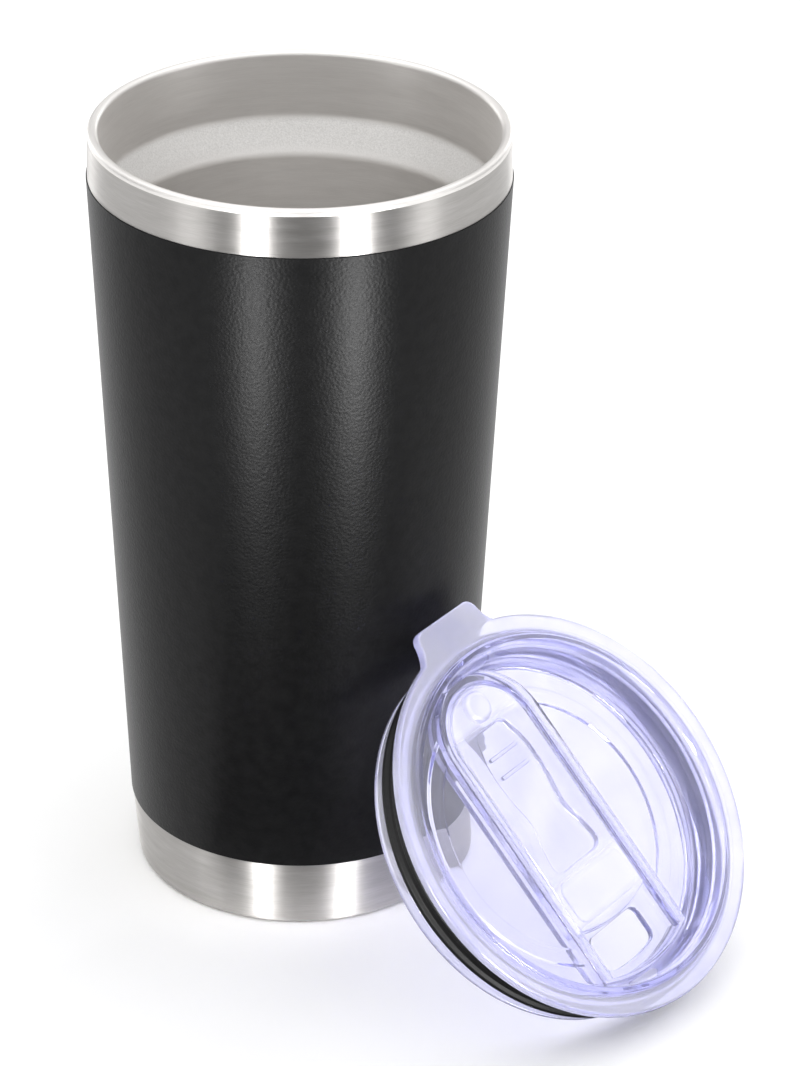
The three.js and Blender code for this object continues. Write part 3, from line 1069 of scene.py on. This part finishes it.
@dataclass
class Lid:
    """The clear lid with its gasket.

    Attributes:
        matrix: where the lid's own frame lies in the model.
        track: the slider's track.
        flange_radius: outer radius of the flange.
        flange_thickness: thickness of the flange.
        plug_radius: radius of the part that enters the mouth.
        plug_depth: depth of the plug's lower edge.
        groove_top: depth of the gasket groove's upper side.
        groove_height: height of the groove.
        groove_depth: how far it is cut in.
        gasket_gap: gap between the gasket and the groove.
        gasket_proud: how far the gasket's fins stand out of the plug.
        skirt: thickness of the plug's wall.
        bead_inner: radius of the bead's inner foot.
        bead_width: width of the bead.
        bead_height: height of the bead.
        deck_depth: depth of the deck.
        deck_wall: thickness of the deck.
        deck_radius: radius of the flat deck.
        ring_outer: outer radius of the raised ring on the deck.
        ring_width: width of that ring.
        ring_height: height of that ring.
        tab_reach: how far the tab stands out of the flange.
        tab_tip: width at the tab's end.
        tab_root: width at its root.
        slot_flare: how far the rounding of the rails' lips opens the slot.
        drink_half: half the width of the drinking opening.
        drink_length: its length along the track.
        drink_edge: its distance from the track's front.
        drink_corner: rounding of its corners.
    """

    matrix: Matrix
    track: Track
    flange_radius: float = 44.7
    flange_thickness: float = 2.4
    plug_radius: float = 41.5
    plug_depth: float = 14.4
    groove_top: float = 4.3
    groove_height: float = 6.4
    groove_depth: float = 1.6
    gasket_gap: float = 0.05
    gasket_proud: float = 0.8
    skirt: float = 2.5
    bead_inner: float = 38.4
    bead_width: float = 1.8
    bead_height: float = 0.5
    deck_depth: float = 9.0
    deck_wall: float = 1.8
    deck_radius: float = 34.8
    ring_outer: float = 31.5
    ring_width: float = 4.1
    ring_height: float = 0.5
    tab_reach: float = 4.9
    tab_tip: float = 18.6
    tab_root: float = 25.5
    slot_flare: float = 0.35
    drink_half: float = 8.2
    drink_length: float = 9.0
    drink_edge: float = 1.9
    drink_corner: float = 2.0

    def build(self) -> None:
        """Builds and dresses the lid and its gasket."""
        shell = self.shell()
        shell.visible_shadow = False
        plastic = ClearPlastic("lid_clear", home=self.matrix).material()
        settle(shell, Body.LID, plastic, "lid_shell", self.matrix)
        silicone = Silicone().material()
        settle(self.gasket(), Body.LID, silicone, "gasket", self.matrix)

    def shell(self) -> bpy.types.Object:
        """Moulding with flange, tab, recess, deck, track and drinking opening.

        Returns:
            The moulding in the lid's own frame.
        """
        track = self.track
        body = revolve("lid_shell_fine", self.body_profile())
        under = -track.floor - track.floor_wall
        rails = rounded_slab(
            "rails", track.outline(track.half_width + track.rail, track.front_radius + 1.1),
            under, -track.rail_top, 0.4, 0.45)
        mouth = track.outline(track.half_width - track.lip, track.front_radius)
        slot = loft("slot", [
            *slab_rings(track.outline(track.half_width, track.front_radius), -track.floor,
                        -track.lip_bottom, 0.25),
            *slab_rings(mouth, -track.lip_bottom, -track.rail_top, 0.0, -self.slot_flare),
            (mouth(self.slot_flare), 1.5 - track.rail_top),
        ])
        drink = rounded_slab("drink", self.drink_outline, under - 0.01, -track.floor + 0.01, -0.35, -0.35)
        return combine(body, [
            (rails, "UNION"),
            (self.tab(), "UNION"),
            (slot, "DIFFERENCE"),
            (drink, "DIFFERENCE"),
        ], sharp=40.0)

    def body_profile(self) -> list[Point]:
        """Radius-height profile of the moulding without track and tab."""
        groove_bottom = self.groove_top + self.groove_height
        groove_floor = self.plug_radius - self.groove_depth
        skirt_inner = self.plug_radius - self.skirt
        deck_under = self.deck_depth + self.deck_wall
        ring_inner = self.ring_outer - self.ring_width
        flat_inner = self.bead_inner + self.bead_width
        deck = self.deck_depth
        return filleted([
            (0.0, -deck_under, 0.0),
            (skirt_inner - 0.4, -deck_under, 0.8),
            (skirt_inner, -self.plug_depth, 0.5),
            (self.plug_radius, -self.plug_depth, 0.8),
            (self.plug_radius, -groove_bottom, 0.3),
            (groove_floor, -groove_bottom, 0.2),
            (groove_floor, -self.groove_top, 0.2),
            (self.plug_radius - 0.2, -self.groove_top, 0.2),
            (self.plug_radius - 0.2, -self.flange_thickness, 0.4),
            (self.flange_radius, -self.flange_thickness, 0.7),
            (self.flange_radius, 0.0, 0.7),
            (flat_inner, 0.0, 0.3),
            (flat_inner - 0.4, self.bead_height, 0.4),
            (self.bead_inner + 0.4, self.bead_height, 0.4),
            (self.bead_inner, -0.3, 0.5),
            (self.deck_radius + 1.1, -deck + 1.6, 1.5),
            (self.deck_radius + 0.8, -deck, 0.9),
            (self.ring_outer, -deck, 0.5),
            (self.ring_outer - self.ring_height, -deck + self.ring_height, 0.5),
            (ring_inner + self.ring_height, -deck + self.ring_height, 0.5),
            (ring_inner, -deck, 0.5),
            (0.0, -deck, 0.0),
        ], closed=False, steps=5)

    def tab(self) -> tuple:
        """Thumb tab that stands out of the flange."""
        tip_y = self.flange_radius + self.tab_reach
        root_x = self.tab_root / 2
        tip_x = self.tab_tip / 2
        root_y = math.sqrt((self.flange_radius - 0.6) ** 2 - root_x ** 2)
        start_y = self.bead_inner + self.bead_width + 1.0

        def outline(by: float) -> list[Point]:
            """The tab's outline grown by a distance."""
            side = [(root_x + 2.2 + by, root_y - 1.9), (root_x + 0.2 + by, root_y - 0.35),
                    (root_x - 1.6 + by, root_y + 1.5), (tip_x + 0.9 + by, root_y + 3.2),
                    (tip_x + 0.4 + by, tip_y - 2.7)]
            right = smooth_through(side, 6)
            nose = filleted([(tip_x + 0.4 + by, tip_y - 2.7, 0), (tip_x - 0.1 + by, tip_y + by, 2.5),
                             (0.0, tip_y + by, 0)], closed=False, steps=8)[1:-1]
            half = [(root_x + 2.2 + by, start_y - 2.0), *right, *nose]
            return half + [(-x, y) for x, y in reversed(half)]

        return rounded_slab("tab", outline, -self.flange_thickness, 0.0, 0.5, 0.5)

    def drink_outline(self, by: float) -> list[Point]:
        """Drinking opening: straight inner side, outer side that follows the lid's rim.

        Args:
            by: distance that the outline is grown.

        Returns:
            The outline.
        """
        outer = self.track.front_radius - self.drink_edge
        inner_y = -(outer - self.drink_length)
        corner = self.drink_corner
        lean = math.asin((self.drink_half - corner) / (outer - corner))
        ring = outer - corner
        x, y = ring * math.sin(lean), -ring * math.cos(lean)
        up, left, down = math.pi / 2, math.pi, 1.5 * math.pi
        side = self.drink_half - corner
        return [
            *arc((-side, inner_y - corner), corner + by, up, left, 6),
            *arc((-x, y), corner + by, left, down - lean, 6),
            *arc((0.0, 0.0), outer + by, down - lean, down + lean, 16)[1:-1],
            *arc((x, y), corner + by, down + lean, 2 * math.pi, 6),
            *arc((side, inner_y - corner), corner + by, 0.0, up, 6),
        ]

    def gasket(self) -> bpy.types.Object:
        """Silicone ring with two sealing fins.

        Returns:
            The ring in the lid's own frame.
        """
        inner = self.plug_radius - self.groove_depth + self.gasket_gap
        body = self.plug_radius + 0.1
        tip = self.plug_radius + self.gasket_proud
        top = -self.groove_top - self.gasket_gap
        bottom = -self.groove_top - self.groove_height + self.gasket_gap
        fin = (top - bottom) / 4
        profile = filleted([
            (inner, bottom, 0.1),
            (body, bottom, 0.25),
            (tip, bottom + fin * 0.6, 0.45),
            (tip, bottom + fin * 1.2, 0.35),
            (body, bottom + fin * 1.6, 0.3),
            (body, top - fin * 1.6, 0.3),
            (tip, top - fin * 1.2, 0.35),
            (tip, top - fin * 0.6, 0.45),
            (body, top, 0.25),
            (inner, top, 0.1),
        ], closed=True, steps=4)
        return revolve("gasket_fine", profile, sharp=60.0)


@dataclass
class Slider:
    """The clear closure that runs in the track.

    Attributes:
        matrix: where the lid's own frame lies in the model.
        track: the track that it runs in.
        clearance: play round the slider in its groove.
        plate: thickness of the plate under the lips.
        crown: height of the crown above the plate.
        pocket: depth of the waisted hollow in the crown.
        pocket_corner: rounding of its ends.
        grip: radius of the thumb button.
        grip_height: its height.
        grip_from_end: its distance from the track's end.
        pad_from_front: distance of the raised pad from the slider's front.
        pad_length: its length along the track.
        pad_inset: its distance from the crown's sides.
        pad_height: its height above the crown.
        pad_corner: rounding of its outline.
        sink: how far added shapes reach into the one below.
        grip_dish: how far the button's top is dished.
        ribs: places of the cross ribs along the track.
        rib_half_length: half a rib's length.
        rib_half_width: half its width.
        rib_height: its height above the hollow's floor.
        waist: right edge of the hollow, from the tab end to the drinking end.
    """

    matrix: Matrix
    track: Track
    clearance: float = 0.4
    plate: float = 2.0
    crown: float = 1.1
    pocket: float = 1.3
    pocket_corner: float = 2.6
    grip: float = 3.6
    grip_height: float = 1.3
    grip_from_end: float = 5.5
    pad_from_front: float = 2.8
    pad_length: float = 10.2
    pad_inset: float = 1.2
    pad_height: float = 0.45
    pad_corner: float = 2.6
    sink: float = 0.5
    grip_dish: float = 0.35
    ribs: tuple[float, ...] = (18.5, 14.0)
    rib_half_length: float = 4.6
    rib_half_width: float = 0.45
    rib_height: float = 0.65
    waist: tuple[Point, ...] = ((4.5, 24.9), (6.6, 17.9), (6.6, 10.2), (5.6, 2.5), (7.0, -3.1), (8.0, -9.5))

    def build(self) -> None:
        """Builds and dresses the slider."""
        piece = self.body()
        piece.visible_shadow = False
        low, high = self.pad_span()
        middle = self.track.end - self.grip_from_end
        spans = ((low, high), (middle - self.grip, middle + self.grip))
        pads = tuple((start * MM, stop * MM) for start, stop in spans)
        plastic = ClearPlastic("slider_clear", density=20.0, pads=pads, home=self.matrix).material()
        settle(piece, Body.SLIDER, plastic, "slider", self.matrix)

    def pad_span(self) -> Point:
        """Where the pad starts and ends along the track."""
        low = self.track.travel - self.track.front_radius + self.clearance + self.pad_from_front
        return low, low + self.pad_length

    def pocket_outline(self, by: float) -> list[Point]:
        """The waisted hollow's outline.

        Args:
            by: distance that it is grown.

        Returns:
            The outline.
        """
        side = smooth_through([(x + by, y) for x, y in self.waist], 6)
        (top_x, top_y), (low_x, low_y) = side[0], side[-1]
        middle = [(x, y, 0) for x, y in side if low_y + self.pocket_corner < y < top_y - self.pocket_corner]
        right = filleted([(0, top_y + by, 0), (top_x, top_y + by, self.pocket_corner), *middle,
                          (low_x, low_y - by, self.pocket_corner), (0, low_y - by, 0)],
                         closed=False, steps=6)[1:-1]
        return right + [(-x, y) for x, y in reversed(right)]

    def body(self) -> bpy.types.Object:
        """Plate, crown, pad, button and ribs as one moulding.

        Returns:
            The slider in the lid's own frame.
        """
        track = self.track
        low = -track.floor + self.clearance
        deck = low + self.plate
        top = deck + self.crown
        front = track.front_radius - self.clearance
        half = track.half_width - self.clearance
        crown_half = half - track.lip - 0.1
        base = rounded_slab("slider_fine", track.outline(half, front, track.travel), low, deck, 0.3, 0.3)
        crown = rounded_slab("crown", track.outline(crown_half, front - 0.3, track.travel),
                             deck - 0.5, top, 0.0, 0.5)
        hollow = rounded_slab("hollow", self.pocket_outline, top - self.pocket, top + 0.02, 0.5, -0.3)
        pad = rounded_slab("pad", self.pad_outline, top - self.pocket, top + self.pad_height, 0.0, 0.4)
        peak = top + self.grip_height
        dome = filleted([(0, top - self.sink, 0), (self.grip, top - self.sink, 0), (self.grip, peak, 1.2),
                         (0, peak - self.grip_dish, 0)], closed=False, steps=8)
        button = revolve("button", dome, 64)
        button.data.transform(Matrix.Translation((0, (track.end - self.grip_from_end) * MM, 0)))
        tools = [(crown, "UNION"), (hollow, "DIFFERENCE"), (pad, "UNION"), (button, "UNION")]
        for y in self.ribs:
            tools.append((self.rib(y, top - self.pocket), "UNION"))
        return combine(base, tools, sharp=40.0)

    def pad_outline(self, by: float) -> list[Point]:
        """Rounded outline of the pad at the drinking end."""
        track = self.track
        wide = track.half_width - self.clearance - track.lip - 0.1 - self.pad_inset + by
        low, high = self.pad_span()
        low, high = low - by, high + by
        return rounded_box(wide, low, high, self.pad_corner, 8)

    def rib(self, y: float, floor: float) -> bpy.types.Object:
        """Low cross rib in the hollow.

        Args:
            y: its place along the track.
            floor: height of the hollow's floor.

        Returns:
            The rib.
        """
        def outline(by: float) -> list[Point]:
            """The rib's outline grown by a distance."""
            deep = self.rib_half_width + by
            return rounded_box(self.rib_half_length + by, y - deep, y + deep, 0.4, 3)

        return rounded_slab("rib", outline, floor - 0.3, floor + self.rib_height, 0.0, 0.3, 3)


# Studio


@dataclass(frozen=True)
class Softbox:
    """One soft light.

    Attributes:
        name: its name.
        azimuth: degrees round the object from the front, positive to the right.
        distance: metres from the object's axis.
        height: metres above the floor.
        width: metres.
        tall: metres.
        power: watts.
        gloss_only: whether only reflections see it.
    """

    name: str
    azimuth: float
    distance: float
    height: float
    width: float
    tall: float
    power: float
    gloss_only: bool = False

    def hang(self, target: Vector) -> None:
        """Makes the light and points it at a target."""
        data = bpy.data.lights.new(self.name, "AREA")
        data.shape = "RECTANGLE"
        data.size = self.width
        data.size_y = self.tall
        data.energy = self.power
        lamp = bpy.data.objects.new(self.name, data)
        a = math.radians(self.azimuth)
        lamp.location = (math.sin(a) * self.distance, -math.cos(a) * self.distance, self.height)
        if self.gloss_only:
            target = Vector((0, 0, self.height))
            for_reflections(lamp)
        lamp.visible_camera = False
        lamp.rotation_euler = (target - lamp.location).to_track_quat("-Z", "Y").to_euler()
        bpy.context.scene.collection.objects.link(lamp)


def for_reflections(obj: bpy.types.Object) -> None:
    """Keeps a studio object out of everything but reflections."""
    obj.visible_camera = False
    obj.visible_diffuse = False
    obj.visible_transmission = False
    obj.visible_shadow = False


@dataclass(frozen=True)
class Card:
    """Dark sector of the floor that only reflections see.

    Attributes:
        name: its name.
        start: azimuth where it starts, degrees from the front.
        stop: azimuth where it ends.
        inner: inner radius in millimetres.
        outer: outer radius in millimetres.
    """

    name: str
    start: float
    stop: float
    inner: float
    outer: float

    def lay(self) -> None:
        """Builds the card just above the floor."""
        steps = 24
        turns = [math.radians(angle - 90) for angle in (self.start, self.stop)]
        verts = [(x, y, 0.1) for radius in (self.inner, self.outer)
                 for x, y in arc((0.0, 0.0), radius, *turns, steps)]
        row = steps + 1
        faces = [(k, k + row, k + row + 1, k + 1) for k in range(steps)]
        card = as_object(self.name, verts, faces)
        dress(card, Silicone(self.name).material())
        for_reflections(card)


@dataclass
class Studio:
    """Floor, lights, surroundings and camera.

    Attributes:
        boxes: the lights.
        low: brightness of the surroundings near the horizon.
        high: their brightness overhead.
        card: the dark card on the floor.
        lens: focal length in millimetres.
        eye: the camera's place in metres.
        aim: the camera's yaw, pitch and roll in degrees.
    """

    boxes: tuple[Softbox, ...] = (
        Softbox("left_strip", -22.2, 0.30, 0.055, 0.041, 0.10, 0.66, True),
        Softbox("right_strip", 27.4, 0.30, 0.055, 0.044, 0.10, 0.84, True),
        Softbox("left_fill", -58.0, 1.7, 0.35, 0.45, 0.7, 2.2),
        Softbox("right_fill", 68.0, 1.7, 0.35, 0.40, 0.7, 2.8),
        Softbox("left_rear", -140.0, 2.4, 0.5, 0.6, 1.0, 7.0),
        Softbox("right_rear", 150.0, 2.4, 0.5, 0.6, 1.0, 7.0),
        Softbox("overhead", 180.0, 0.25, 2.2, 3.2, 3.2, 30.0),
    )
    low: float = 0.18
    high: float = 1.0
    card: Card = Card("dark_card", -45.0, 55.0, 50.0, 3000.0)
    lens: float = 137.9
    eye: tuple[float, float, float] = (0.0, -0.784, 0.4947)
    aim: tuple[float, float, float] = (1.587, 28.019, 0.743)

    def build(self) -> None:
        """Builds the floor, the dark card, the lights and the camera."""
        self.floor()
        self.card.lay()
        low, high = CAD_BOX
        target = Vector((0, 0, (low.z + high.z) / 2))
        for box in self.boxes:
            box.hang(target)
        self.sky()
        self.camera()
        bpy.context.scene.view_settings.view_transform = "Standard"

    def floor(self) -> None:
        """Pale floor just under the object."""
        size, depth, corner = 6000.0, 20.0, 60.0
        outline = rounded_box(size, -size, size, corner, 6)
        slab = loft("floor", [(outline, -depth), (outline, 0.0)])
        dress(slab, StudioFloor().material())
        slab.location.z = CAD_BOX[0].z - 0.0001

    def sky(self) -> None:
        """White surroundings, dimmer near the horizon."""
        world = bpy.data.worlds.new("surround")
        world.use_nodes = True
        tree = world.node_tree
        background = tree.nodes["Background"]
        background.inputs["Color"].default_value = (1, 1, 1, 1)
        place_in_sky = tree.nodes.new("ShaderNodeTexCoord")
        split = tree.nodes.new("ShaderNodeSeparateXYZ")
        rise = tree.nodes.new("ShaderNodeMapRange")
        rise.interpolation_type = "SMOOTHSTEP"
        limits = {"From Min": 0.1, "From Max": 0.5, "To Min": self.low, "To Max": self.high}
        for key, value in limits.items():
            rise.inputs[key].default_value = value
        tree.links.new(place_in_sky.outputs["Generated"], split.inputs[0])
        tree.links.new(split.outputs["Z"], rise.inputs["Value"])
        tree.links.new(rise.outputs[0], background.inputs["Strength"])
        bpy.context.scene.world = world

    def camera(self) -> None:
        """Long lens from the front, looking down at 28 degrees."""
        data = bpy.data.cameras.new("camera")
        data.lens = self.lens
        data.clip_end = 50
        camera = bpy.data.objects.new("camera", data)
        camera.location = self.eye
        yaw, pitch, roll = (math.radians(angle) for angle in self.aim)
        look = Matrix.Rotation(-yaw, 4, "Z") @ Matrix.Rotation(math.pi / 2 - pitch, 4, "X")
        turn = look @ Matrix.Rotation(roll, 4, "Z")
        camera.rotation_mode = "QUATERNION"
        camera.rotation_quaternion = turn.to_quaternion()
        bpy.context.scene.collection.objects.link(camera)
        bpy.context.scene.camera = camera


def lid_matrix(gasket_depth: float) -> Matrix:
    """Where the lid's own frame lies in the model.

    The lid's axis is the way that it lifts, and its track is the way that the slider slides.

    Args:
        gasket_depth: depth in millimetres of the gasket's middle below the flange's top.

    Returns:
        The matrix from the lid's frame to the model's.
    """
    normal = joint_axis("lid_lift")
    toward_tab = -joint_axis("slider_slide")
    across = toward_tab.cross(normal).normalized()
    toward_tab = normal.cross(across)
    low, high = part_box("gasket")
    centre = (low + high) / 2 + normal * gasket_depth * MM
    turn = Matrix((across, toward_tab, normal)).transposed().to_4x4()
    return Matrix.Translation(centre) @ turn


def main() -> None:
    """Builds the studio, the tumbler, the lid and the slider, in that order."""
    logging.basicConfig(level=logging.INFO, format="%(name)s: %(message)s")
    Studio().build()
    Tumbler().build()
    track = Track()
    matrix = lid_matrix(Lid.groove_top + Lid.groove_height / 2)
    Lid(matrix, track).build()
    Slider(matrix, track).build()


if __name__ == "__main__":
    main()
